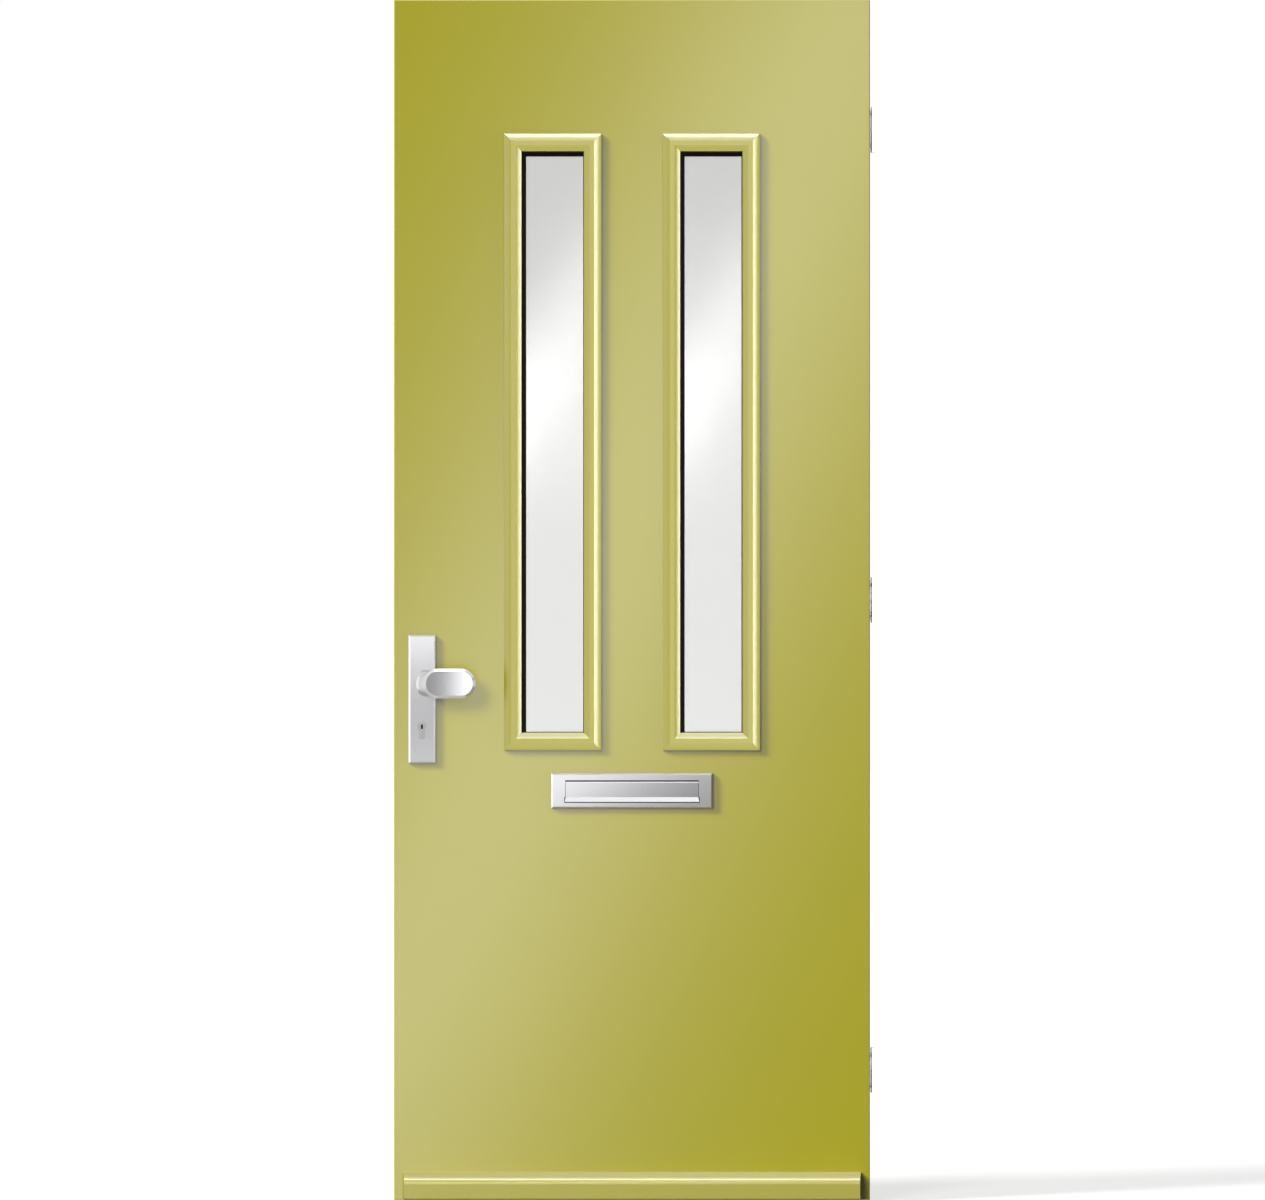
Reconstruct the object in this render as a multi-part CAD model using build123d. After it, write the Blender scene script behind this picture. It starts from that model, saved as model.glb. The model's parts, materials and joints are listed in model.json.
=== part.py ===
from build123d import *
import os

# A front door leaf hung on three butt hinges, in millimetres, with +Z up.
# It is seen from outside along +Y: the outer face looks to -Y, the lock edge is at -X and the
# hinge edge at +X. The leaf opens inwards, to +Y.
# The origin lies on the jamb side of the bottom hinge's frame plate, at the middle of the
# leaf's thickness and of that hinge's height.

# Leaf: two skins on a frame of stiles and rails, with an insulating core
leaf_width = 930.0
leaf_height = 2345.0
leaf_thickness = 54.0
skin_thickness = 6.0
skin_edge_radius = 2.0
stile_width = 110.0
top_rail_height = 150.0
bottom_rail_height = 220.0

# Glazed lights: a mitred moulding on each face, with a sealed double pane between them
light_width = 190.0
light_height = 1204.0
light_spacing = 310.0
light_top_margin = 262.0
moulding_width = 34.0
moulding_edge_height = 7.0
moulding_crown_height = 13.0
moulding_lip_height = 8.0
moulding_outer_slope = 14.0
moulding_inner_slope = 11.0
moulding_outer_tilt = 12.0
moulding_inner_tilt = 34.0
moulding_lap = 14.0
moulding_clearance = 1.0
pane_thickness = 4.0
pane_cavity = 14.0
pane_clearance = 3.0
gasket_thickness = 3.0
gasket_wide_sight = 9.0
gasket_narrow_sight = 1.5
spacer_width = 10.0
spacer_inset = 3.0

# Weather bar at the foot of the outer face
weather_bar_length = 896.0
weather_bar_height = 53.0
weather_bar_depth = 36.0
weather_bar_lift = 2.0
weather_bar_nose_height = 44.0
weather_bar_nose_round = 14.0
weather_bar_toe_setback = 4.0
weather_bar_toe_round = 5.0
weather_bar_end_splay = 4.0
drip_groove_radius = 3.0
drip_groove_setback = 13.0

# Letter plate, its lifting flap and the sleeve through the leaf
letter_plate_width = 315.0
letter_plate_height = 68.0
letter_plate_thickness = 9.0
letter_plate_chamfer = 3.0
letter_plate_drop = 45.0
letter_pocket_width = 260.6
letter_pocket_height = 44.0
letter_pocket_depth = 6.0
letter_pocket_drop = 1.5
letter_slot_width = 232.0
letter_slot_height = 28.0
letter_slot_rise = 1.8
flap_side_gap = 0.8
flap_end_gap = 2.0
flap_seat_gap = 0.4
flap_thickness = 5.0
flap_pin_radius = 1.3
flap_pin_clearance = 0.08
flap_pin_seat = 4.0
flap_lip_height = 9.0
flap_lip_reach = 5.0
flap_lip_thickness = 3.0
flap_lip_flare = 2.0
sleeve_wall = 2.0
sleeve_clearance = 1.0
inside_letter_width = 290.0
inside_letter_height = 62.0
inside_letter_thickness = 5.0
inside_letter_chamfer = 2.0

# Lock furniture: long plates, an outer knob that doesn't turn and an inner lever
backset = 55.0
handle_height = 1010.0
plate_width = 52.0
plate_height = 250.0
plate_thickness = 9.0
plate_chamfer = 3.0
plate_centre_drop = 31.0
cylinder_distance = 85.0
knob_width = 102.0
knob_height = 58.0
knob_thickness = 18.0
knob_stand_off = 36.0
knob_crank = 55.0
knob_rim = 5.5
knob_back_chamfer = 2.5
knob_dish_depth = 4.0
knob_dish_wall = 1.2
neck_width = 34.0
neck_height = 52.0
neck_base_lean = 6.0
neck_top_lean = 34.0
lever_neck_radius = 9.0
lever_stand_off = 46.0
lever_length = 118.0
lever_height = 20.0
lever_thickness = 12.0
lever_bend = 14.0
lever_clearance = 0.3
spindle_side = 8.0

# Profile cylinder with its key plug
cylinder_head_radius = 8.5
cylinder_stem_radius = 5.0
cylinder_height = 33.0
cylinder_clearance = 0.2
cylinder_projection = 1.5
cylinder_rim_width = 3.0
cylinder_rim_height = 1.0
plug_radius = 6.5
plug_clearance = 0.06
plug_length = 20.0
plug_end_gap = 0.3
keyway_width = 4.0
keyway_height = 8.5
keyway_depth = 15.0

# Mortice lock in the lock edge, with its bolts drawn back
lock_plate_width = 24.0
lock_plate_height = 235.0
lock_plate_thickness = 3.0
lock_case_thickness = 15.0
lock_case_depth = 85.0
lock_case_height = 165.0
lock_clearance = 0.5
bolt_clearance = 0.3
bolt_length = 38.0
latch_width = 12.0
latch_height = 18.0
latch_rise = 24.0
dead_bolt_width = 14.0
dead_bolt_height = 34.0
dead_bolt_rise = 40.0

# Lift-off butt hinges: a plate with a pin on the jamb, a plate with a socket let into the leaf's edge
hinge_height = 89.0
hinge_end_distance = 250.0
hinge_plate_thickness = 3.0
hinge_plate_reach = 36.0
hinge_gap = 5.0
knuckle_radius = 7.5
knuckle_gap = 0.4
knuckle_cap = 5.0
knuckle_stand_off = 9.0
pin_radius = 4.0
pin_clearance = 0.06
pin_end_gap = 0.5
mortise_clearance = 0.2
screw_hole_radius = 2.6
screw_spacing_across = 18.0
screw_spacing_along = 62.0

# Places that follow from those sizes
outer_face = -leaf_thickness / 2
inner_face = leaf_thickness / 2
hinge_edge = -(hinge_plate_thickness + hinge_gap)
lock_edge = hinge_edge - leaf_width
leaf_middle = (hinge_edge + lock_edge) / 2
leaf_bottom = -hinge_end_distance
leaf_top = leaf_bottom + leaf_height
leaf_centre = leaf_bottom + leaf_height / 2
core_thickness = leaf_thickness - 2 * skin_thickness
core_height = leaf_height - top_rail_height - bottom_rail_height

light_centre = leaf_top - light_top_margin - light_height / 2
light_places = {
    "left": leaf_middle - light_spacing / 2,
    "right": leaf_middle + light_spacing / 2,
}
aperture_width = light_width - 2 * moulding_lap
aperture_height = light_height - 2 * moulding_lap
sight_width = light_width - 2 * moulding_width
sight_height = light_height - 2 * moulding_width
pane_width = aperture_width - 2 * pane_clearance
pane_height = aperture_height - 2 * pane_clearance
moulding_depth = leaf_thickness / 2 - pane_cavity / 2 - pane_thickness - gasket_thickness

light_foot = light_centre - light_height / 2
letter_centre = light_foot - letter_plate_drop - letter_plate_height / 2
pocket_centre = letter_centre - letter_pocket_drop
pocket_floor = letter_plate_thickness - letter_pocket_depth
slot_centre = pocket_centre + letter_slot_rise
sleeve_width = letter_slot_width + 2 * sleeve_wall
sleeve_height = letter_slot_height + 2 * sleeve_wall
flap_width = letter_pocket_width - 2 * flap_side_gap
flap_height = letter_pocket_height - 2 * flap_end_gap
flap_back = pocket_floor + flap_seat_gap
flap_bottom = pocket_centre - flap_height / 2
flap_lip_top = flap_bottom + flap_lip_height
flap_axis_z = flap_bottom + flap_height - flap_thickness / 2
flap_axis_out = flap_back + flap_thickness / 2

handle_x = lock_edge + backset
handle_z = leaf_bottom + handle_height
cylinder_z = handle_z - cylinder_distance
plate_z = handle_z - plate_centre_drop
cylinder_face = plate_thickness + cylinder_rim_height + cylinder_projection
lock_z = (handle_z + cylinder_z) / 2
latch_z = handle_z + latch_rise
dead_bolt_z = cylinder_z + dead_bolt_rise

hinge_axis_x = -(hinge_plate_thickness + hinge_gap / 2)
hinge_axis_y = inner_face + knuckle_stand_off
hinge_places = {
    "bottom": leaf_bottom + hinge_end_distance,
    "middle": leaf_centre,
    "top": leaf_top - hinge_end_distance,
}

# A point on this plane is x, z and the distance out from the leaf's outer face
outside = Plane(origin=(0, outer_face, 0), x_dir=(1, 0, 0), z_dir=(0, -1, 0))


def slab(width, height, depth, x, z, back=0.0):
    """A block centred at x and z, with its back that far out from the outer face."""
    return outside * Pos(x, z, back + depth / 2) * Box(width, height, depth)


def through_leaf(width, height, x, z):
    """A cutter right through the leaf."""
    return Pos(x, 0, z) * Box(width, 2 * leaf_thickness, height)


def to_inside(shape):
    """The same shape on the leaf's inner face."""
    return mirror(shape, about=Plane.XZ)


def front_edges(shape):
    """The edges of a shape's outermost flat face."""
    return shape.faces().filter_by(Axis.Y).sort_by(Axis.Y)[0].edges()


# Leaf


def light_apertures():
    return [
        through_leaf(aperture_width, aperture_height, x, light_centre)
        for x in light_places.values()
    ]


def letter_aperture():
    width = sleeve_width + 2 * sleeve_clearance
    height = sleeve_height + 2 * sleeve_clearance
    return through_leaf(width, height, leaf_middle, slot_centre)


def hinge_mortises():
    depth = hinge_plate_thickness + mortise_clearance
    reach = hinge_plate_reach + mortise_clearance
    block = Box(2 * depth, 2 * reach, hinge_height + 2 * mortise_clearance)
    return [Pos(hinge_edge, inner_face, z) * block for z in hinge_places.values()]


def spindle_hole():
    """A round hole for the lever's neck, from the inner face to the lock."""
    hole = Cylinder(lever_neck_radius + lever_clearance, leaf_thickness / 2, rotation=(90, 0, 0))
    return Pos(handle_x, leaf_thickness / 4, handle_z) * hole


def skin():
    """The outer skin; the inner one is its mirror image with a few more cuts."""
    sheet = slab(leaf_width, leaf_height, skin_thickness, leaf_middle, leaf_centre, -skin_thickness)
    sheet = fillet(front_edges(sheet), skin_edge_radius)
    return sheet - [*light_apertures(), letter_aperture(), profile_cutter(cylinder_clearance)]


def upright(x):
    return Pos(x, 0, leaf_centre) * Box(stile_width, core_thickness, leaf_height)


def crosspiece(height, z):
    return Pos(leaf_middle, 0, z) * Box(leaf_width - 2 * stile_width, core_thickness, height)


def leaf_parts():
    lock_cuts = [lock_pocket(), profile_cutter(cylinder_clearance), spindle_hole()]
    core_z = leaf_bottom + bottom_rail_height + core_height / 2
    return {
        "outer_skin": skin(),
        "inner_skin": to_inside(skin()) - [*hinge_mortises(), spindle_hole()],
        "hinge_stile": upright(hinge_edge - stile_width / 2) - hinge_mortises(),
        "lock_stile": upright(lock_edge + stile_width / 2) - lock_cuts,
        "top_rail": crosspiece(top_rail_height, leaf_top - top_rail_height / 2),
        "bottom_rail": crosspiece(bottom_rail_height, leaf_bottom + bottom_rail_height / 2),
        "core_panel": crosspiece(core_height, core_z) - [*light_apertures(), letter_aperture()],
        "weather_bar": weather_bar(),
    }


def weather_bar():
    """A bar with a sloping top, a round nose, a drip groove below and splayed ends."""
    top = weather_bar_lift + weather_bar_height
    nose = (weather_bar_depth, weather_bar_lift + weather_bar_nose_height)
    toe = (weather_bar_depth - weather_bar_toe_setback, weather_bar_lift)
    outline = make_face(Polyline((0, weather_bar_lift), (0, top), nose, toe, close=True))
    corners = outline.vertices().sort_by(Axis.X)
    outline = fillet(corners[-1], weather_bar_nose_round)
    outline = fillet(outline.vertices().group_by(Axis.Y)[0].sort_by(Axis.X)[-1], weather_bar_toe_round)
    groove_out = weather_bar_depth - weather_bar_toe_setback - drip_groove_setback
    outline = outline - Pos(groove_out, weather_bar_lift) * Circle(drip_groove_radius)
    across = Plane(origin=(leaf_middle, outer_face, leaf_bottom), x_dir=(0, -1, 0), z_dir=(-1, 0, 0))
    bar = extrude(across * outline, weather_bar_length / 2, both=True)
    half_back = weather_bar_length / 2
    half_front = half_back - weather_bar_end_splay
    plan = make_face(
        Polyline(
            (-half_back, 0),
            (half_back, 0),
            (half_front, -weather_bar_depth),
            (-half_front, -weather_bar_depth),
            close=True,
        )
    )
    ends = extrude(Pos(leaf_middle, outer_face, leaf_bottom) * plan, top)
    return bar & ends


# Lights


def moulding_section():
    """The moulding's section: 0 is its outer edge on the skin, and height is out from the skin.

    Both slopes leave the flat crown at an arris: the outer one is a round, the inner one a cove.
    """
    crown_start = moulding_outer_slope
    crown_end = moulding_width - moulding_inner_slope
    leg = moulding_lap + moulding_clearance
    crown = moulding_crown_height
    round_start = Vector(-1, 0).rotate(Axis.Z, moulding_outer_tilt)
    cove_start = Vector(1, 0).rotate(Axis.Z, -moulding_inner_tilt)
    edges = Polyline(
        (moulding_width, moulding_lip_height),
        (moulding_width, -moulding_depth),
        (leg, -moulding_depth),
        (leg, 0),
        (0, 0),
        (0, moulding_edge_height),
    ).edges()
    edges += TangentArc((crown_start, crown), (0, moulding_edge_height), tangent=round_start).edges()
    edges += Line((crown_start, crown), (crown_end, crown)).edges()
    edges += TangentArc((crown_end, crown), (moulding_width, moulding_lip_height), tangent=cove_start).edges()
    return make_face(edges)


def moulding_member(run, opposite):
    """A length of moulding along local Y, mitred at both ends, for a side of that run."""
    across = Plane(origin=(-opposite / 2, 0, 0), x_dir=(1, 0, 0), z_dir=(0, -1, 0))
    bar = extrude(across * moulding_section(), run / 2, both=True)
    outer = -opposite / 2
    inner = outer + moulding_width
    inner_run = run / 2 - moulding_width
    mitre = make_face(
        Polyline((outer, -run / 2), (inner, -inner_run), (inner, inner_run), (outer, run / 2), close=True)
    )
    return bar & extrude(mitre, leaf_thickness, both=True)


def moulding_frame(x):
    """Four mitred members round a light, on the outer face."""
    side = moulding_member(light_height, light_width)
    head = Rot(0, 0, -90) * moulding_member(light_width, light_height)
    frame = side + head + Rot(0, 0, 180) * side + Rot(0, 0, 180) * head
    return outside * Pos(x, light_centre, 0) * frame


def ring(width, height, depth, opening, x, back):
    """A flat ring round a light; opening holds its left, right, bottom and top edges."""
    left, right, bottom, top = opening
    hole_x = x + (left + right) / 2
    hole_z = light_centre + (bottom + top) / 2
    hole = slab(right - left, top - bottom, 3 * depth, hole_x, hole_z, back - depth)
    return slab(width, height, depth, x, light_centre, back) - hole


def gaskets(x):
    """The black seals on both sides of the glass; outside, two edges show more of it."""
    half_width = sight_width / 2
    half_height = sight_height / 2
    outer_opening = (
        gasket_wide_sight - half_width,
        half_width - gasket_narrow_sight,
        -half_height,
        half_height - gasket_wide_sight,
    )
    inner_opening = (
        gasket_narrow_sight - half_width,
        half_width - gasket_narrow_sight,
        gasket_narrow_sight - half_height,
        half_height - gasket_narrow_sight,
    )
    back = -moulding_depth - gasket_thickness
    outer = ring(pane_width, pane_height, gasket_thickness, outer_opening, x, back)
    inner = ring(pane_width, pane_height, gasket_thickness, inner_opening, x, back)
    return Compound([outer.solid(), to_inside(inner).solid()])


def pane_spacer(x):
    width = pane_width - 2 * spacer_inset
    height = pane_height - 2 * spacer_inset
    half_width = width / 2 - spacer_width
    half_height = height / 2 - spacer_width
    opening = (-half_width, half_width, -half_height, half_height)
    return ring(width, height, pane_cavity, opening, x, outer_face - pane_cavity / 2)


def light_parts():
    parts = {}
    pane_back = -moulding_depth - gasket_thickness - pane_thickness
    for side, x in light_places.items():
        frame = moulding_frame(x)
        pane = slab(pane_width, pane_height, pane_thickness, x, light_centre, pane_back)
        parts[f"{side}_outer_moulding"] = frame
        parts[f"{side}_inner_moulding"] = to_inside(frame)
        parts[f"{side}_gaskets"] = gaskets(x)
        parts[f"{side}_outer_pane"] = pane
        parts[f"{side}_inner_pane"] = to_inside(pane)
        parts[f"{side}_pane_spacer"] = pane_spacer(x)
    return parts


# Letter plate


def rod_along_x(radius, length, z, out):
    """A round rod across the door's middle, at that height and distance from the outer face."""
    return outside * Pos(leaf_middle, z, out) * Cylinder(radius, length, rotation=(0, 90, 0))


def letter_plate():
    """A bevelled plate with a pocket for the flap, wider where the flap's lip flares."""
    width, height = letter_plate_width, letter_plate_height
    plate = slab(width, height, letter_plate_thickness, leaf_middle, letter_centre)
    plate = chamfer(front_edges(plate), letter_plate_chamfer)
    depth = 2 * letter_pocket_depth
    lip_width = letter_pocket_width + 2 * flap_lip_flare
    lip_height = flap_end_gap + flap_lip_height
    lip_z = flap_lip_top - lip_height / 2
    cutters = [
        slab(letter_pocket_width, letter_pocket_height, depth, leaf_middle, pocket_centre, pocket_floor),
        slab(lip_width, lip_height, depth, leaf_middle, lip_z, pocket_floor),
        through_leaf(letter_slot_width, letter_slot_height, leaf_middle, slot_centre),
        flap_pin(flap_pin_clearance),
    ]
    return plate - cutters


def flap_pin(grow=0.0):
    """The rod that the flap turns on, which reaches into the plate at both ends."""
    length = letter_pocket_width + 2 * (flap_pin_seat + grow)
    return rod_along_x(flap_pin_radius + grow, length, flap_axis_z, flap_axis_out)


def letter_flap():
    """A thick plate with a round top edge and a finger lip that flares out at its foot."""
    web_height = flap_axis_z - flap_lip_top
    web_z = flap_lip_top + web_height / 2
    web = slab(flap_width, web_height, flap_thickness, leaf_middle, web_z, flap_back)
    top_edge = rod_along_x(flap_thickness / 2, flap_width, flap_axis_z, flap_axis_out)
    lip_root = Plane(origin=(leaf_middle, outer_face - flap_axis_out, flap_lip_top))
    lip_edge = Plane(origin=(leaf_middle, outer_face - flap_axis_out - flap_lip_reach, flap_bottom))
    lip = loft(
        [
            lip_root * Rectangle(flap_width, flap_thickness),
            lip_edge * Rectangle(flap_width + 2 * flap_lip_flare, flap_lip_thickness),
        ]
    )
    return web + top_edge + lip - flap_pin(flap_pin_clearance)


def letter_sleeve():
    outer = Pos(leaf_middle, 0, slot_centre) * Box(sleeve_width, leaf_thickness, sleeve_height)
    return outer - through_leaf(letter_slot_width, letter_slot_height, leaf_middle, slot_centre)


def inside_letter_frame():
    frame = slab(
        inside_letter_width,
        inside_letter_height,
        inside_letter_thickness,
        leaf_middle,
        slot_centre,
    )
    frame = chamfer(front_edges(frame), inside_letter_chamfer)
    return to_inside(frame) - through_leaf(letter_slot_width, letter_slot_height, leaf_middle, slot_centre)


def letter_parts():
    return {
        "letter_plate": letter_plate(),
        "letter_flap": letter_flap(),
        "letter_flap_pin": flap_pin(),
        "letter_sleeve": letter_sleeve(),
        "inside_letter_frame": inside_letter_frame(),
    }


# Lock furniture


def profile_outline(grow=0.0):
    """The section of a profile cylinder: a round head over a narrow stem with a round end."""
    stem_drop = cylinder_height - cylinder_head_radius - cylinder_stem_radius
    stem = Pos(0, -stem_drop / 2) * Rectangle(2 * (cylinder_stem_radius + grow), stem_drop)
    foot = Pos(0, -stem_drop) * Circle(cylinder_stem_radius + grow)
    return Circle(cylinder_head_radius + grow) + stem + foot


def profile_bar(grow, front, back):
    """A bar of that section at the lock's cylinder, between two distances from the outer face."""
    section = outside * Pos(handle_x, cylinder_z, back) * profile_outline(grow)
    return extrude(section, front - back, dir=(0, -1, 0))


def profile_cutter(clearance):
    reach = leaf_thickness + 2 * plate_thickness
    return profile_bar(clearance, reach, -reach)


def long_plate():
    """The outer plate, with a raised rim round the cylinder."""
    plate = slab(plate_width, plate_height, plate_thickness, handle_x, plate_z)
    plate = chamfer(front_edges(plate), plate_chamfer)
    rim = profile_bar(cylinder_rim_width, plate_thickness + cylinder_rim_height, 0)
    return plate + rim - profile_cutter(cylinder_clearance)


def knob():
    """An oval head with a rim round a dished face, on a neck that leans away from the lock edge."""
    back = plate_thickness + knob_stand_off
    front = back + knob_thickness
    head = extrude(Pos(knob_crank, 0, back) * SlotOverall(knob_width, knob_height), knob_thickness)
    head = chamfer(head.faces().sort_by(Axis.Z)[-1].edges(), knob_rim)
    head = chamfer(head.faces().sort_by(Axis.Z)[0].edges(), knob_back_chamfer)
    dish_half = knob_width / 2 - knob_rim
    dish_sag = knob_dish_depth - knob_dish_wall
    dish_radius = (dish_half**2 + dish_sag**2) / (2 * dish_sag)
    dish_axis = Pos(knob_crank, 0, front - knob_dish_depth + dish_radius)
    dish = dish_axis * Cylinder(dish_radius, 2 * knob_height, rotation=(90, 0, 0))
    face = SlotOverall(2 * dish_half, knob_height - 2 * knob_rim)
    dish = dish & extrude(Pos(knob_crank, 0, back) * face, 2 * knob_thickness)
    neck_foot = Pos(neck_base_lean, 0, plate_thickness) * Ellipse(neck_width / 2, neck_height / 2)
    neck_run = Vector(neck_top_lean - neck_base_lean, 0, knob_stand_off)
    neck = extrude(neck_foot, neck_run.length, dir=neck_run.normalized())
    return outside * Pos(handle_x, handle_z, 0) * (head - dish + neck)


def lever():
    """A flat bar on a round neck through the inner plate, with a square spindle into the lock."""
    bar_out = lever_stand_off - lever_thickness / 2
    half_height = lever_height / 2
    bar = Pos(lever_length / 2, 0, lever_stand_off) * Box(lever_length, lever_height, lever_thickness)
    heel = bar.edges().filter_by(Axis.Y).sort_by(lambda edge: edge.center().X - edge.center().Z)[0]
    bar = fillet(heel, lever_thickness / 2)
    tip = bar.edges().filter_by(Axis.Z).group_by(Axis.X)[-1]
    bar = fillet(tip, lever_bend / 2)
    neck = Pos(half_height, 0, bar_out / 2) * Cylinder(lever_neck_radius, bar_out)
    spindle_length = leaf_thickness / 2 + lock_case_thickness / 2
    spindle = Pos(half_height, 0, -spindle_length / 2) * Box(spindle_side, spindle_side, spindle_length)
    place = Pos(handle_x - half_height, handle_z, 0)
    return to_inside(outside * place * (bar + neck + spindle))


def key_plug(radius, length, front):
    """A round bar on the key's axis, from that face inwards."""
    return outside * Pos(handle_x, cylinder_z, front - length / 2) * Cylinder(radius, length)


def furniture_parts():
    plug_bore = key_plug(plug_radius + plug_clearance, plug_length + plug_end_gap, cylinder_face)
    plug = key_plug(plug_radius, plug_length, cylinder_face)
    keyway_back = cylinder_face - keyway_depth
    keyway = slab(keyway_width, keyway_height, 2 * keyway_depth, handle_x, cylinder_z, keyway_back)
    neck_hole = Cylinder(lever_neck_radius + lever_clearance, 4 * plate_thickness, rotation=(90, 0, 0))
    cylinder_back = -leaf_thickness - cylinder_face
    return {
        "outside_plate": long_plate(),
        "outside_knob": knob(),
        "inside_plate": to_inside(long_plate()) - Pos(handle_x, inner_face, handle_z) * neck_hole,
        "inside_lever": lever(),
        "lock_cylinder": profile_bar(0, cylinder_face, cylinder_back) - plug_bore,
        "cylinder_plug": plug - keyway,
    }


# Mortice lock


def lock_block(depth, width, height, z, start=0.0):
    """A block that runs in from the lock edge, starting that far in."""
    return Pos(lock_edge + start + depth / 2, 0, z) * Box(depth, width, height)


def lock_case(grow):
    case = lock_block(
        lock_case_depth + grow,
        lock_case_thickness + 2 * grow,
        lock_case_height + 2 * grow,
        lock_z,
        lock_plate_thickness,
    )
    side = Plane(origin=(lock_edge, 0, lock_z), x_dir=(0, 1, 0), z_dir=(1, 0, 0))
    face = SlotOverall(lock_plate_height + 2 * grow, lock_plate_width + 2 * grow, rotation=90)
    return case + extrude(side * face, lock_plate_thickness)


def lock_pocket():
    return lock_case(lock_clearance)


def lock_parts():
    latch = lock_block(bolt_length, latch_width, latch_height, latch_z)
    dead_bolt = lock_block(bolt_length, dead_bolt_width, dead_bolt_height, dead_bolt_z)
    room = 2 * bolt_clearance
    socket_depth = bolt_length + bolt_clearance
    sockets = [
        lock_block(socket_depth, latch_width + room, latch_height + room, latch_z),
        lock_block(socket_depth, dead_bolt_width + room, dead_bolt_height + room, dead_bolt_z),
        profile_cutter(cylinder_clearance),
        through_leaf(spindle_side + room, spindle_side + room, handle_x, handle_z),
    ]
    return {
        "mortice_lock": lock_case(0) - sockets,
        "latch_bolt": latch,
        "dead_bolt": dead_bolt,
    }


# Hinges


def hinge_half(z, end):
    """The jamb's plate with one knuckle, at its foot for end -1 or its head for end 1."""
    thickness = hinge_plate_thickness
    plate = Pos(-thickness / 2, inner_face - hinge_plate_reach / 2, z) * Box(
        thickness, hinge_plate_reach, hinge_height
    )
    height = (hinge_height - knuckle_gap) / 2
    knuckle_z = z + end * (hinge_height - height) / 2
    tongue = Pos(-thickness / 2, inner_face + knuckle_stand_off / 2, knuckle_z)
    plate = plate + tongue * Box(thickness, knuckle_stand_off, height)
    plate = plate + Pos(hinge_axis_x, hinge_axis_y, knuckle_z) * Cylinder(knuckle_radius, height)
    hole = Cylinder(screw_hole_radius, 4 * thickness, rotation=(0, 90, 0))
    pattern = GridLocations(screw_spacing_across, screw_spacing_along, 2, 2)
    side = Plane(origin=(0, inner_face - hinge_plate_reach / 2, z), x_dir=(0, 1, 0), z_dir=(1, 0, 0))
    return plate - [side * place * Rot(0, -90, 0) * hole for place in pattern]


def hinge_pin(z, grow=0.0, end_gap=0.0):
    """The pin that stands in the jamb's knuckle and fills the leaf's one up to its cap."""
    length = hinge_height / 2 - knuckle_cap - end_gap
    return Pos(hinge_axis_x, hinge_axis_y, z + length / 2) * Cylinder(pin_radius + grow, length)


def hinge_parts():
    parts = {}
    for name, z in hinge_places.items():
        root = Pos(hinge_axis_x, hinge_axis_y, z - knuckle_gap) * Cylinder(pin_radius, 2 * knuckle_gap)
        leaf_side = mirror(hinge_half(z, 1), about=Plane.YZ.offset(hinge_axis_x))
        parts[f"{name}_hinge_frame_plate"] = hinge_half(z, -1) + root + hinge_pin(z, 0.0, pin_end_gap)
        parts[f"{name}_hinge_leaf_plate"] = leaf_side - hinge_pin(z, pin_clearance)
    return parts


os.makedirs("parts", exist_ok=True)
door = {
    **leaf_parts(),
    **light_parts(),
    **letter_parts(),
    **furniture_parts(),
    **lock_parts(),
    **hinge_parts(),
}
for node, shape in door.items():
    export_step(shape, f"parts/{node}.step")
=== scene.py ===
import json
import math

import bmesh
import bpy
from mathutils import Matrix, Vector


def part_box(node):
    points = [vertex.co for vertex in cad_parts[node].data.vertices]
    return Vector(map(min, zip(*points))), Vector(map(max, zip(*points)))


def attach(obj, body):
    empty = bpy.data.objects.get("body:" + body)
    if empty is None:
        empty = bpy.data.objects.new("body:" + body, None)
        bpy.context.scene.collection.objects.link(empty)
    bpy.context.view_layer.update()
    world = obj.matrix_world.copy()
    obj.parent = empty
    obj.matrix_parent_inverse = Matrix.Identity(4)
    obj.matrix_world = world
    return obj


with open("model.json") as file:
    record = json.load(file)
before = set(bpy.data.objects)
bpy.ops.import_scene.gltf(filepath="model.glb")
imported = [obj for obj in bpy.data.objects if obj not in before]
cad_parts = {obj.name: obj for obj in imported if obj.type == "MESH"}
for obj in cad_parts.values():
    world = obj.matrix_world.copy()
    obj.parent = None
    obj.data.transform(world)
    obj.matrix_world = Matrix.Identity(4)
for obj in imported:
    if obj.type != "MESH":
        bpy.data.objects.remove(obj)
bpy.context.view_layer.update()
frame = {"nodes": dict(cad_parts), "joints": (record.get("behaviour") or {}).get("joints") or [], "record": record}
nodes = frame["nodes"]
record = frame["record"]
scene = bpy.context.scene
scene.view_settings.view_transform = "Standard"
scene.cycles.caustics_reflective = False  # glints of the cards light nothing else
mm = 0.001
print("frame loaded:", len(nodes), "nodes")

leafLow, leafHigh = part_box("outer_skin")
leafCentre = (leafLow + leafHigh) / 2
outerFace = leafLow.y


# Shared helpers


def hexToLinear(text):
    channels = [int(text[i:i + 2], 16) / 255 for i in (1, 3, 5)]
    return [c / 12.92 if c <= 0.04045 else ((c + 0.055) / 1.055) ** 2.4 for c in channels] + [1.0]


def addNode(tree, kind, settings=(), links=()):
    node = tree.nodes.new(kind)
    for key, value in dict(settings).items():
        if isinstance(key, str) and hasattr(node, key):
            setattr(node, key, value)
        else:
            node.inputs[key].default_value = value
    for key, source in dict(links).items():
        tree.links.new(source, node.inputs[key])
    return node


def newMaterial(name, settings):
    material = bpy.data.materials.new(name)
    material.use_nodes = True
    tree = material.node_tree
    tree.nodes.clear()
    shader = addNode(tree, "ShaderNodeBsdfPrincipled", settings)
    addNode(tree, "ShaderNodeOutputMaterial", {}, {"Surface": shader.outputs["BSDF"]})
    return material, tree, shader


def waveLength(millimetres):
    return 1 / (millimetres * mm)  # a texture scale whose features are that wide


# Materials

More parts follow.
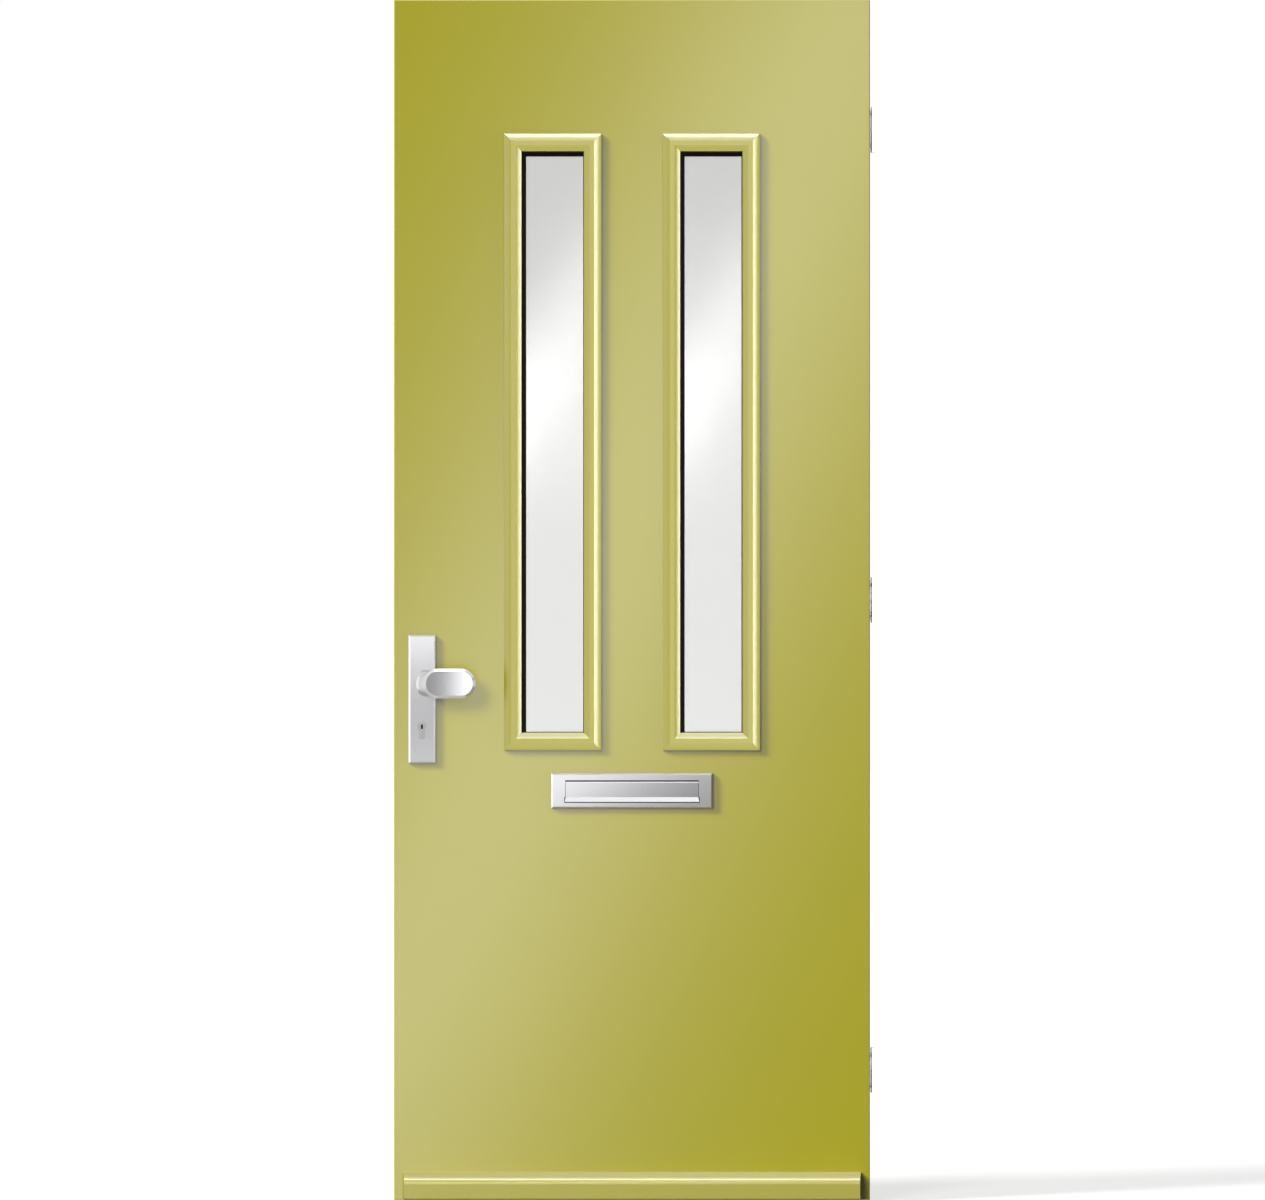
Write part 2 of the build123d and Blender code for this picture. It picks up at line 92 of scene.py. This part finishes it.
# Two-pack satin lacquer sprayed on primed timber: an even olive with a soft broad sheen,
# and the faint orange peel that a spray gun leaves
lacquerLook = {
    "colour": "#9f9800",
    "roughness": 0.34,
    "coat": 1.0,
    "coatRoughness": 0.32,
    "coatIor": 1.6,
    "peelWidth": 2.2,
    "peelHeight": 0.012,
    "peelStrength": 0.5,
    "cloudWidth": 260,
    "shadeSpread": 0.03,
}

# Painted sheen on the weather bar: faces that look up are mixed towards a pale colour, a painted highlight
paintedSheenLook = {"colour": "#e6e3cc", "paintedCover": 0.36, "startsAt": 0.25, "fullAt": 0.9}


def satinLacquer(name, look, paintedSheen=None):
    material, tree, shader = newMaterial(name, {
        "Roughness": look["roughness"],
        "Coat Weight": look["coat"],
        "Coat Roughness": look["coatRoughness"],
        "Coat IOR": look["coatIor"],
    })
    place = addNode(tree, "ShaderNodeTexCoord").outputs["Object"]
    cloud = addNode(tree, "ShaderNodeTexNoise", {"Scale": waveLength(look["cloudWidth"]), "Detail": 3},
                    {"Vector": place})
    shade = addNode(tree, "ShaderNodeMapRange",
                    {"To Min": 1 - look["shadeSpread"], "To Max": 1 + look["shadeSpread"]},
                    {"Value": cloud.outputs["Fac"]})
    tint = addNode(tree, "ShaderNodeMix", {"data_type": "RGBA", "blend_type": "MULTIPLY", 0: 1.0,
                                           6: hexToLinear(look["colour"])},
                   {7: shade.outputs["Result"]})
    colour = tint.outputs[2]
    # Painted sheen: the colour pales on faces that look up, a painted highlight
    if paintedSheen:
        normal = addNode(tree, "ShaderNodeNewGeometry").outputs["Normal"]
        upward = addNode(tree, "ShaderNodeSeparateXYZ", {}, {"Vector": normal}).outputs["Z"]
        paintedCover = addNode(tree, "ShaderNodeMapRange", {"From Min": paintedSheen["startsAt"], "From Max": paintedSheen["fullAt"],
                                                     "To Max": paintedSheen["paintedCover"]}, {"Value": upward})
        paintedSheenMix = addNode(tree, "ShaderNodeMix", {"data_type": "RGBA", 7: hexToLinear(paintedSheen["colour"])},
                       {0: paintedCover.outputs["Result"], 6: colour})
        colour = paintedSheenMix.outputs[2]
    tree.links.new(colour, shader.inputs["Base Color"])
    peel = addNode(tree, "ShaderNodeTexNoise", {"Scale": waveLength(look["peelWidth"]), "Detail": 2},
                   {"Vector": place})
    bump = addNode(tree, "ShaderNodeBump",
                   {"Strength": look["peelStrength"], "Distance": look["peelHeight"] * mm},
                   {"Height": peel.outputs["Fac"]})
    tree.links.new(bump.outputs["Normal"], shader.inputs["Normal"])
    tree.links.new(bump.outputs["Normal"], shader.inputs["Coat Normal"])
    return material


# Float glass, etched satin on its hidden side: it lets white daylight through and softens what is behind
glassLook = {
    "colour": "#e8e8e7",
    "roughness": 0.115,
    "ior": 1.5,
    "rollWidth": 180,
    "rollHeight": 0.02,
    "rollStrength": 0.3,
}


def satinGlass(look):
    material, tree, shader = newMaterial("satin_glass", {
        "Base Color": hexToLinear(look["colour"]),
        "Roughness": look["roughness"],
        "IOR": look["ior"],
        "Transmission Weight": 1.0,
    })
    place = addNode(tree, "ShaderNodeTexCoord").outputs["Object"]
    roll = addNode(tree, "ShaderNodeTexNoise", {"Scale": waveLength(look["rollWidth"]), "Detail": 1},
                   {"Vector": place})
    bump = addNode(tree, "ShaderNodeBump",
                   {"Strength": look["rollStrength"], "Distance": look["rollHeight"] * mm},
                   {"Height": roll.outputs["Fac"]})
    tree.links.new(bump.outputs["Normal"], shader.inputs["Normal"])
    return material


# Aluminium, ground along its length and anodised: a pale satin metal with fine lines in its sheen
aluminiumLook = {
    "colour": "#dcdcde",
    "roughness": 0.26,
    "roughnessSpread": 0.012,
    "lineWidth": 0.6,  # real grinding lines are finer, and drawn this wide so that they show
    "lineLength": 40,
    "lineHeight": 0.00004,
    "lineStrength": 0.4,
}
# Brass, polished and nickel plated: a little warmer than the aluminium round it
nickelLook = dict(aluminiumLook, colour="#d8d7d4", roughness=0.24, lineLength=4)
# The same on the key plug, with painted shade inside its keyway: the colour darkens with depth
plugPaintedShadeLook = dict(nickelLook, paintedShade="#45433f", paintedShadeDepth=1.5)
# The letter plate's, with painted shade in the pocket behind its flap: the colour darkens with depth
pocketPaintedShadeLook = dict(aluminiumLook, paintedShade="#2a2927", paintedShadeDepth=2.0, paintedShadeFrom=3.0, pocketMargin=3.0)
# Cold rolled steel, zinc plated and dulled by handling
steelLook = dict(aluminiumLook, colour="#e4e5e6", roughness=0.30, lineWidth=0.9, lineLength=25)


def groundMetal(name, look, along, slotMouth=0, pocket=None):
    material, tree, shader = newMaterial(name, {"Base Color": hexToLinear(look["colour"]), "Metallic": 1.0})
    place = addNode(tree, "ShaderNodeTexCoord").outputs["Object"]
    scale = [waveLength(look["lineLength"] if axis == along else look["lineWidth"]) for axis in "xyz"]
    stretched = addNode(tree, "ShaderNodeMapping", {"Scale": scale}, {"Vector": place})
    lines = addNode(tree, "ShaderNodeTexNoise", {"Scale": 1.0, "Detail": 3},
                    {"Vector": stretched.outputs["Vector"]})
    gloss = addNode(tree, "ShaderNodeMapRange",
                    {"To Min": look["roughness"] - look["roughnessSpread"],
                     "To Max": look["roughness"] + look["roughnessSpread"]},
                    {"Value": lines.outputs["Fac"]})
    tree.links.new(gloss.outputs["Result"], shader.inputs["Roughness"])
    bump = addNode(tree, "ShaderNodeBump",
                   {"Strength": look["lineStrength"], "Distance": look["lineHeight"] * mm},
                   {"Height": lines.outputs["Fac"]})
    tree.links.new(bump.outputs["Normal"], shader.inputs["Normal"])
    # Painted shade: the colour darkens with depth behind a mouth, into a slot or pocket
    if "paintedShade" in look:
        spot = addNode(tree, "ShaderNodeSeparateXYZ", {}, {"Vector": place}).outputs
        depth = addNode(tree, "ShaderNodeMapRange",
                        {"From Min": slotMouth, "From Max": slotMouth + look["paintedShadeDepth"] * mm},
                        {"Value": spot["Y"]})
        paintedCover = depth.outputs["Result"]
        for axis in (0, 2) if pocket else ():  # only between the pocket's ends and between its top and bottom
            low, high = (corner[axis] for corner in pocket)
            inside = addNode(tree, "ShaderNodeMath", {"operation": "COMPARE", 1: (low + high) / 2,
                                                      2: (high - low) / 2 + look["pocketMargin"] * mm},
                             {0: spot[axis]})
            paintedCover = addNode(tree, "ShaderNodeMath", {"operation": "MULTIPLY"},
                            {0: paintedCover, 1: inside.outputs[0]}).outputs[0]
        tint = addNode(tree, "ShaderNodeMix", {"data_type": "RGBA", 6: hexToLinear(look["colour"]),
                                               7: hexToLinear(look["paintedShade"])},
                       {0: paintedCover})
        tree.links.new(tint.outputs[2], shader.inputs["Base Color"])
    return material


# Extruded EPDM and moulded black plastic: near black with a dull grain that keeps them from looking flat
rubberLook = {
    "colour": "#161617",
    "roughness": 0.62,
    "ior": 1.5,
    "grainWidth": 1.2,
    "grainHeight": 0.03,
    "grainStrength": 0.4,
    "shadeSpread": 0.15,
}
plasticLook = dict(rubberLook, colour="#1d1d1f", roughness=0.45, ior=1.49, grainWidth=0.8, grainHeight=0.02)
# Rigid polyurethane foam, sawn: pale yellow open cells
foamLook = dict(rubberLook, colour="#d9cc98", roughness=0.9, ior=1.45, grainWidth=1.6, grainHeight=0.5)


def grainedSolid(name, look):
    material, tree, shader = newMaterial(name, {"Roughness": look["roughness"], "IOR": look["ior"]})
    place = addNode(tree, "ShaderNodeTexCoord").outputs["Object"]
    grain = addNode(tree, "ShaderNodeTexNoise", {"Scale": waveLength(look["grainWidth"]), "Detail": 4},
                    {"Vector": place})
    shade = addNode(tree, "ShaderNodeMapRange",
                    {"To Min": 1 - look["shadeSpread"], "To Max": 1 + look["shadeSpread"]},
                    {"Value": grain.outputs["Fac"]})
    tint = addNode(tree, "ShaderNodeMix", {"data_type": "RGBA", "blend_type": "MULTIPLY", 0: 1.0,
                                           6: hexToLinear(look["colour"])},
                   {7: shade.outputs["Result"]})
    tree.links.new(tint.outputs[2], shader.inputs["Base Color"])
    bump = addNode(tree, "ShaderNodeBump",
                   {"Strength": look["grainStrength"], "Distance": look["grainHeight"] * mm},
                   {"Height": grain.outputs["Fac"]})
    tree.links.new(bump.outputs["Normal"], shader.inputs["Normal"])
    return material


finishes = {
    "painted_timber": satinLacquer("satin_lacquer", lacquerLook),
    "satin_glass": satinGlass(glassLook),
    "satin_aluminium": groundMetal("anodised_aluminium", aluminiumLook, "z"),
    "nickel_plated_brass": groundMetal("nickel_plated_brass", nickelLook, "z"),
    "satin_steel": groundMetal("zinc_plated_steel", steelLook, "z"),
    "black_rubber": grainedSolid("epdm_rubber", rubberLook),
    "black_plastic": grainedSolid("moulded_plastic", plasticLook),
    "insulating_core": grainedSolid("rigid_foam", foamLook),
}
crossGround = groundMetal("anodised_aluminium_across", aluminiumLook, "x")
special = {node: crossGround for node in ("letter_flap", "inside_letter_frame", "inside_lever")}
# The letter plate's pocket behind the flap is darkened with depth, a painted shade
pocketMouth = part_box("letter_plate")[0].y + pocketPaintedShadeLook["paintedShadeFrom"] * mm
special["letter_plate"] = groundMetal("anodised_aluminium_pocket_painted_shade", pocketPaintedShadeLook, "x", pocketMouth,
                                      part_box("letter_flap"))
# The weather bar's lacquer has a painted highlight on the faces that look up
special["weather_bar"] = satinLacquer("satin_lacquer_painted_sheen", lacquerLook, paintedSheenLook)
# The key plug's keyway is darkened with depth, a painted shade
special["cylinder_plug"] = groundMetal("nickel_plated_keyway_painted_shade", plugPaintedShadeLook, "z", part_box("cylinder_plug")[0].y)

for part in record["subparts"]:
    surface = nodes[part["node"]].data
    surface.materials.clear()
    surface.materials.append(special.get(part["node"], finishes[part["material_slot"]]))
print("materials:", len(bpy.data.materials))


# Screws: pan heads with a six-lobe socket, in the holes and corners where such fittings have them

screwLook = {
    "segments": 36,
    "lobes": 6,
    "socketRadius": 0.40,  # these are shares of the head's radius or height
    "lobeSwing": 0.07,
    "socketFloor": 0.25,
    "dome": ((1.0, 0.0), (0.98, 0.3), (0.88, 0.66), (0.7, 0.9), (0.52, 1.0)),
    "turn": 0.9,  # radians from one screw to the next
    "sharpAngle": 40,
}
screwSizes = {
    "hinge": {"radius": 4.3, "height": 1.3, "plateGap": 5.0},
    "plate": {"radius": 3.5, "height": 1.2, "endMargin": 14.0, "rimHeight": 1.0},
    "lock": {"radius": 4.0, "height": 0.3, "endMargin": 11.0},  # countersunk, nearly flush
}


def screwRing(mesh, look, share, height, lobed, turn):
    ring = []
    for step in range(look["segments"]):
        angle = 2 * math.pi * step / look["segments"]
        swing = look["lobeSwing"] * math.cos(look["lobes"] * angle) if lobed else 0
        reach = share + swing
        ring.append(mesh.verts.new((reach * math.cos(angle + turn), reach * math.sin(angle + turn), height)))
    return ring


def addScrews(name, body, size, outward, places):
    look = screwLook
    mesh = bmesh.new()
    for number, place in enumerate(places):
        turn = look["turn"] * number
        socket = look["socketRadius"]
        rings = [screwRing(mesh, look, share, height, False, turn) for share, height in look["dome"]]
        rings.append(screwRing(mesh, look, socket, 1.0, True, turn))
        rings.append(screwRing(mesh, look, socket, look["socketFloor"], True, turn))
        for outer, inner in zip(rings, rings[1:]):
            for step in range(look["segments"]):
                after = (step + 1) % look["segments"]
                mesh.faces.new((outer[step], outer[after], inner[after], inner[step]))
        mesh.faces.new(rings[-1])
        mesh.faces.new(reversed(rings[0]))
        seat = Matrix.Translation(place) @ Vector(outward).to_track_quat("Z", "Y").to_matrix().to_4x4()
        stretch = Matrix.Diagonal((size["radius"] * mm, size["radius"] * mm, size["height"] * mm, 1))
        bmesh.ops.transform(mesh, matrix=seat @ stretch, verts=[v for ring in rings for v in ring])
    data = bpy.data.meshes.new(name)
    mesh.to_mesh(data)
    mesh.free()
    piece = bpy.data.objects.new(name, data)
    scene.collection.objects.link(piece)
    for face in data.polygons:
        face.use_smooth = len(face.vertices) == 4
    data.set_sharp_from_angle(angle=math.radians(look["sharpAngle"]))
    data.materials.append(finishes["satin_steel"])
    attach(piece, body)


def hingeScrewPlaces(face):
    places = []
    for mount in record["mounts"]:
        if mount["kind"] == "bolt_pattern":
            x, y, z = mount["pos_m"]
            across = mount["dims"]["spacing_x_mm"] * mm / 2
            along = mount["dims"]["spacing_y_mm"] * mm / 2
            places += [Vector((face, y + i * across, z + k * along)) for i in (-1, 1) for k in (-1, 1)]
    return places


def endPlaces(node, along, margin, face, level):
    low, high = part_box(node)
    places = []
    for end in (low[along] + margin * mm, high[along] - margin * mm):
        place = (low + high) / 2
        place[along] = end
        place[face] = level
        places.append(place)
    return places


hingeAxis = frame["joints"][0]["pos_m"][0]
halfGap = screwSizes["hinge"]["plateGap"] * mm / 2
addScrews("frame_hinge_screws", "frame_hinges", screwSizes["hinge"], (-1, 0, 0),
          hingeScrewPlaces(hingeAxis + halfGap))
addScrews("leaf_hinge_screws", "leaf", screwSizes["hinge"], (1, 0, 0),
          hingeScrewPlaces(hingeAxis - halfGap))

plateScrew = screwSizes["plate"]
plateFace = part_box("inside_plate")[1].y - plateScrew["rimHeight"] * mm
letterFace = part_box("inside_letter_frame")[1].y
insidePlaces = endPlaces("inside_plate", 2, plateScrew["endMargin"], 1, plateFace)
insidePlaces += endPlaces("inside_letter_frame", 0, plateScrew["endMargin"], 1, letterFace)
addScrews("inside_plate_screws", "leaf", plateScrew, (0, 1, 0), insidePlaces)

lockScrew = screwSizes["lock"]
lockPlaces = endPlaces("mortice_lock", 2, lockScrew["endMargin"], 0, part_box("mortice_lock")[0].x)
addScrews("lock_face_screws", "leaf", lockScrew, (-1, 0, 0), lockPlaces)
print("screws placed")


# Studio

photoFrame = {"width": 1265, "height": 1200, "mmPerPixel": 1.95378, "leafMiddlePixel": 632.0}
cameraPlace = {"distance": 12.0, "sensor": 36.0, "clipEnd": 100}
viewWidth = photoFrame["width"] * photoFrame["mmPerPixel"] * mm
sideStep = (photoFrame["width"] / 2 - photoFrame["leafMiddlePixel"]) * photoFrame["mmPerPixel"] * mm
aimPoint = Vector((leafCentre.x + sideStep, outerFace, leafCentre.z))

cameraData = bpy.data.cameras.new("camera")
cameraData.sensor_fit = "HORIZONTAL"
cameraData.sensor_width = cameraPlace["sensor"]
cameraData.lens = cameraPlace["sensor"] * cameraPlace["distance"] / viewWidth
cameraData.clip_end = cameraPlace["clipEnd"]
camera = bpy.data.objects.new("camera", cameraData)
camera.location = aimPoint - Vector((0, cameraPlace["distance"], 0))
camera.rotation_euler = (math.radians(90), 0, 0)
scene.collection.objects.link(camera)
scene.camera = camera


def facing(place, aim, roll=0):
    back = (Vector(place) - Vector(aim)).normalized()
    side = Vector((0, 0, 1)).cross(back)
    side = side.normalized() if side.length > 0.001 else Vector((1, 0, 0))
    up = back.cross(side)
    turn = Matrix((side, up, back)).transposed().to_4x4()
    return Matrix.Translation(place) @ turn @ Matrix.Rotation(math.radians(roll), 4, "Z")


# Pieces that share a set of reflector cards
groups = {
    "leaf": ["outer_skin", "weather_bar"],
    "moulding": ["left_outer_moulding", "right_outer_moulding"],
    "edges": ["hinge_stile", "lock_stile", "top_rail", "bottom_rail"],
    "bar": ["weather_bar"],
    "glass": [f"{side}_{face}_pane" for side in ("left", "right") for face in ("outer", "inner")],
    "plate": ["outside_plate"],
    "cylinder": ["lock_cylinder", "cylinder_plug"],
    "knob": ["outside_knob"],
    "letter": ["letter_plate", "letter_flap"],
    "letter_plate": ["letter_plate"],
    "letter_flap": ["letter_flap"],
    "steel": [name for name in nodes if "hinge_frame" in name or "hinge_leaf" in name],
}
groups["moulding_and_bar"] = groups["moulding"] + groups["bar"]
groups["own_suns"] = groups["moulding_and_bar"] + groups["edges"]


def linkSet(name, members, state):
    links = bpy.data.collections.new(name)
    for member in members:
        links.objects.link(nodes[member])
    for entry in links.collection_objects:
        entry.light_linking.link_state = state
    return links


receivers = {group: linkSet(group, members, "INCLUDE") for group, members in groups.items()}

# Suns light by diffuse only; level is the share of full light that they give to a face turned to "onto"
suns = {
    "low_sun": {"toward": (-0.76, -0.34, 0.56), "onto": (0, -1, 0), "level": 0.54, "angle": 13,
                "spares": "own_suns", "passes": "knob"},
    "high_sun": {"toward": (-0.42, -0.82, 0.40), "onto": (0, -1, 0), "level": 0.48, "angle": 22,
                 "spares": "moulding_and_bar"},
    "side_sun": {"toward": (-0.90, -0.10, 0.40), "onto": (-1, 0, 0), "level": 0.50, "angle": 20,
                 "only": "edges"},
    "front_sun": {"toward": (0.10, -1.0, -0.25), "onto": (0, -1, 0), "level": 0.92, "angle": 20,
                  "only": "moulding"},
    "open_sun": {"toward": (-0.80, 0.55, 0.20), "onto": (-0.94, 0.34, 0), "level": 0.80, "angle": 20,
                 "only": "moulding_and_bar"},  # for the open leaf; the shut leaf hides them from it
    "bar_sun": {"toward": (-0.20, -1.0, 0.75), "onto": (0, -1, 0), "level": 0.94, "angle": 20, "only": "bar"},
    "edge_sun": {"toward": (0.90, -0.20, -0.20), "onto": (0, -1, 0), "level": 0.04, "angle": 25,
                 "spares": "moulding_and_bar", "passes": "knob"},
    "back_sun": {"toward": (0.45, 0.80, 0.35), "onto": (0, 1, 0), "level": 0.75, "angle": 20},
}
sunDistance = 5  # only its direction counts
for name, sun in suns.items():
    toward = Vector(sun["toward"]).normalized()
    data = bpy.data.lights.new(name, "SUN")
    data.energy = sun["level"] * math.pi / toward.dot(Vector(sun["onto"]))
    data.angle = math.radians(sun["angle"])
    light = bpy.data.objects.new(name, data)
    light.matrix_world = facing(aimPoint + sunDistance * toward, aimPoint)
    light.visible_glossy = False
    light.visible_transmission = False
    scene.collection.objects.link(light)
    if "only" in sun:
        light.light_linking.receiver_collection = receivers[sun["only"]]
    if "spares" in sun:
        light.light_linking.receiver_collection = linkSet(name + "_spares", groups[sun["spares"]], "EXCLUDE")
    if "passes" in sun:
        light.light_linking.blocker_collection = linkSet(name + "_passes", groups[sun["passes"]], "EXCLUDE")

# Reflector cards show only in gloss, and only to their group. A mirrored card is given by where its
# reflection shows on the flat outer face, in metres from the middle, and how far it stands in front of
# that face; a side card by its own place. Where two overlap, the nearer one hides the other
mirroredCards = {
    "leaf_band": {"on": "leaf", "shows": (0.024, 0.24), "span": (0.128, 3.7), "away": 3, "roll": -25,
                  "radiance": 18.5},
    "moulding_front": {"on": "moulding", "shows": (0, 0.35), "span": (2.0, 3.0), "away": 3, "radiance": 1.6},
    "plate_base": {"on": "plate", "shows": (-0.41, -0.20), "span": (4.0, 4.0), "away": 1, "radiance": 0.45},
    "plate_top": {"on": "plate", "shows": (-0.41, 0.09), "span": (0.7, 0.40), "away": 0.9, "radiance": 1.14},
    "plate_low": {"on": "plate", "shows": (-0.41, -0.40), "span": (0.6, 0.16), "away": 0.95,
                  "radiance": 0.68},
    "cylinder_base": {"on": "cylinder", "shows": (-0.41, -0.24), "span": (2.0, 2.0), "away": 1,
                      "radiance": 0.62},
    "knob_base": {"on": "knob", "shows": (-0.35, -0.16), "span": (4.0, 4.0), "away": 1, "radiance": 0.30},
    "knob_left": {"on": "knob", "shows": (-0.66, -0.16), "span": (0.56, 0.8), "away": 0.9, "radiance": 1.4},
    "letter_base": {"on": "letter_plate", "shows": (0, -0.37), "span": (1.4, 1.4), "away": 1,
                    "radiance": 0.31},
    "letter_left": {"on": "letter_plate", "shows": (-0.166, -0.157), "span": (1.2, 0.5), "away": 0.95,
                    "roll": 31, "radiance": 1.16},
    "flap_base": {"on": "letter_flap", "shows": (0, -0.37), "span": (1.4, 1.4), "away": 1, "radiance": 0.18},
    "flap_left": {"on": "letter_flap", "shows": (-0.180, -0.147), "span": (1.2, 0.5), "away": 0.95,
                  "roll": 31, "radiance": 1.46},
    "glass_low": {"on": "glass", "shows": (0, -0.16), "span": (1.6, 1.28), "away": 3, "radiance": 1.8},
    "glass_left": {"on": "glass", "shows": (-0.154, 0.478), "span": (0.60, 0.14), "away": 2.8, "roll": 55,
                   "radiance": 4.0},
    "glass_right": {"on": "glass", "shows": (0.154, 0.478), "span": (0.60, 0.14), "away": 2.8, "roll": 55,
                    "radiance": 4.0},
    "bar_front": {"on": "bar", "shows": (0, -0.75), "span": (3.0, 1.6), "away": 3, "radiance": 1.95},
    "steel_front": {"on": "steel", "shows": (0.48, 0), "span": (0.6, 2.6), "away": 2, "radiance": 3.4},
}
sideCards = {
    "moulding_right": {"on": "moulding", "place": (2.65, -5.4, 0.5), "size": (0.5, 4.4), "radiance": 34},
    "moulding_far_right": {"on": "moulding", "place": (4.0, -4.3, 0.5), "size": (1.2, 4.4), "radiance": 12},
    "moulding_top": {"on": "moulding", "place": (0, -2.6, 6.9), "size": (3.6, 0.7), "radiance": 33},
    "moulding_upper": {"on": "moulding", "place": (0, -3.35, 5.3), "size": (3.6, 0.7), "radiance": 11},
    "moulding_high": {"on": "moulding", "place": (0, -4.9, 3.5), "size": (3.6, 0.8), "radiance": 13},
    "moulding_left": {"on": "moulding", "place": (-3.8, -3.6, 0.4), "size": (4.5, 4.0), "radiance": 1.5},
    "moulding_under": {"on": "moulding", "place": (0, -1.3, -1.9), "size": (3.0, 2.2), "radiance": 1.7},
    "bar_top": {"on": "bar", "place": (0, -1.45, 2.25), "size": (2.6, 0.35), "radiance": 30},
    "knob_top": {"on": "knob", "place": (-0.35, -0.3, 1.2), "size": (0.9, 0.9), "radiance": 1.5},
    "knob_right": {"on": "knob", "place": (1.2, -0.3, -0.16), "size": (0.9, 0.9), "radiance": 0.75},
    "knob_under": {"on": "knob", "place": (-0.35, -0.5, -1.2), "size": (0.9, 0.9), "radiance": 0.6},
    "plate_left": {"on": "plate", "place": (-2.0, -0.2, -0.2), "size": (0.9, 1.2), "radiance": 1.2},
    "plate_right": {"on": "plate", "place": (1.2, -0.3, -0.2), "size": (0.9, 1.2), "radiance": 1.0},
    "plate_under": {"on": "plate", "place": (-0.4, -0.5, -1.3), "size": (0.9, 0.9), "radiance": 0.9},
    "letter_side": {"on": "letter", "place": (-2.4, -0.3, -0.37), "size": (1.2, 1.2), "radiance": 1.6},
    "letter_top": {"on": "letter", "place": (0, -1.3, 1.6), "size": (1.6, 1.2), "radiance": 1.0},
    "steel_right": {"on": "steel", "place": (3.0, 0, 0), "size": (2.0, 3.0), "radiance": 0.8},
}


def addCard(name, card, place, size, aim):
    data = bpy.data.lights.new(name, "AREA")
    data.shape = "RECTANGLE"
    data.size, data.size_y = size
    data.energy = card["radiance"] * math.pi * size[0] * size[1]
    light = bpy.data.objects.new(name, data)
    light.matrix_world = facing(aimPoint + place, aimPoint + aim, card.get("roll", 0))
    light.visible_camera = False
    light.visible_diffuse = False
    light.light_linking.receiver_collection = receivers[card["on"]]
    scene.collection.objects.link(light)


for name, card in mirroredCards.items():
    spread = 1 + card["away"] / cameraPlace["distance"]
    across, up = (spread * value for value in card["shows"])
    size = [spread * side for side in card["span"]]
    addCard(name, card, Vector((across, -card["away"], up)), size, Vector((across, 0, up)))
aimedAtPiece = ("knob", "letter", "plate", "bar")  # the other side cards face the middle of the leaf
for name, card in sideCards.items():
    low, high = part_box(groups[card["on"]][0])
    target = (low + high) / 2 - aimPoint if card["on"] in aimedAtPiece else Vector((0, 0, 0))
    addCard(name, card, Vector(card["place"]), card["size"], target)

# The background is white to the camera and in reflections, and dimmer as a light
world = bpy.data.worlds.new("white_studio")
scene.world = world
world.use_nodes = True
air = world.node_tree
air.nodes.clear()
ambientLight = 0.06


def seenDirectly(tree):
    path = addNode(tree, "ShaderNodeLightPath").outputs
    camOrGloss = addNode(tree, "ShaderNodeMath", {"operation": "MAXIMUM"},
                         {0: path["Is Camera Ray"], 1: path["Is Glossy Ray"]})
    return addNode(tree, "ShaderNodeMath", {"operation": "MAXIMUM"},
                   {0: camOrGloss.outputs[0], 1: path["Is Transmission Ray"]}).outputs[0]


strength = addNode(air, "ShaderNodeMapRange", {"To Min": ambientLight, "To Max": 1.0},
                   {"Value": seenDirectly(air)})
sky = addNode(air, "ShaderNodeBackground", {"Color": (1, 1, 1, 1)}, {"Strength": strength.outputs["Result"]})
addNode(air, "ShaderNodeOutputWorld", {}, {"Surface": sky.outputs["Background"]})


def sheetMesh(name, corners):
    mesh = bpy.data.meshes.new(name)
    mesh.from_pydata(corners, [], [range(len(corners))])
    piece = bpy.data.objects.new(name, mesh)
    scene.collection.objects.link(piece)
    return piece


# White floor: bright to the eye like the background, with the door's soft shadow on it
floorLook = {"gap": 6 * mm, "half": 30.0, "albedo": 0.9, "glow": 0.62}
floorHeight = leafLow.z - floorLook["gap"]
floor = sheetMesh("floor", [(x * floorLook["half"], y * floorLook["half"], floorHeight)
                            for x, y in ((-1, -1), (1, -1), (1, 1), (-1, 1))])
floorPaint = bpy.data.materials.new("white_floor")
floorPaint.use_nodes = True
ground = floorPaint.node_tree
ground.nodes.clear()
matt = addNode(ground, "ShaderNodeBsdfDiffuse", {"Color": [floorLook["albedo"]] * 3 + [1]})
glow = addNode(ground, "ShaderNodeEmission", {"Color": (1, 1, 1, 1), "Strength": 1.0})
share = addNode(ground, "ShaderNodeMath", {"operation": "MULTIPLY", 1: floorLook["glow"]},
                {0: seenDirectly(ground)})
blend = addNode(ground, "ShaderNodeMixShader", {},
                {0: share.outputs[0], 1: matt.outputs["BSDF"], 2: glow.outputs["Emission"]})
addNode(ground, "ShaderNodeOutputMaterial", {}, {"Surface": blend.outputs["Shader"]})
floor.data.materials.append(floorPaint)
floor.visible_glossy = False
floor.visible_diffuse = False
floor.visible_shadow = False

# Dark cloths that only reflections see: behind the camera, to the right and below,
# so that the sheen of paint and metal has depth
cloths = {
    "cloth_behind_camera": {"middle": (0, -13.5, 0), "sides": ((14, 0, 0), (0, 0, 14)), "shade": 0.03},
    "cloth_right": {"middle": (7.0, -4.0, 0), "sides": ((0, 7, 0), (0, 0, 3)), "shade": 0.16},
    "cloth_below": {"middle": (0, -5.0, -2.2), "sides": ((6, 0, 0), (0, 4.9, 0)), "shade": 0.16},
}
for name, look in cloths.items():
    middle = aimPoint + Vector(look["middle"])
    side, rise = (Vector(way) for way in look["sides"])
    cloth = sheetMesh(name, [middle + i * side + k * rise for i, k in ((-1, -1), (1, -1), (1, 1), (-1, 1))])
    clothPaint = bpy.data.materials.new(name)
    clothPaint.use_nodes = True
    weave = clothPaint.node_tree
    weave.nodes.clear()
    dim = addNode(weave, "ShaderNodeEmission", {"Color": (1, 1, 1, 1), "Strength": look["shade"]})
    addNode(weave, "ShaderNodeOutputMaterial", {}, {"Surface": dim.outputs["Emission"]})
    cloth.data.materials.append(clothPaint)
    cloth.visible_camera = False
    cloth.visible_diffuse = False
    cloth.visible_shadow = False
    cloth.visible_transmission = False
print("studio:", len(suns), "suns,", len(mirroredCards) + len(sideCards), "cards")
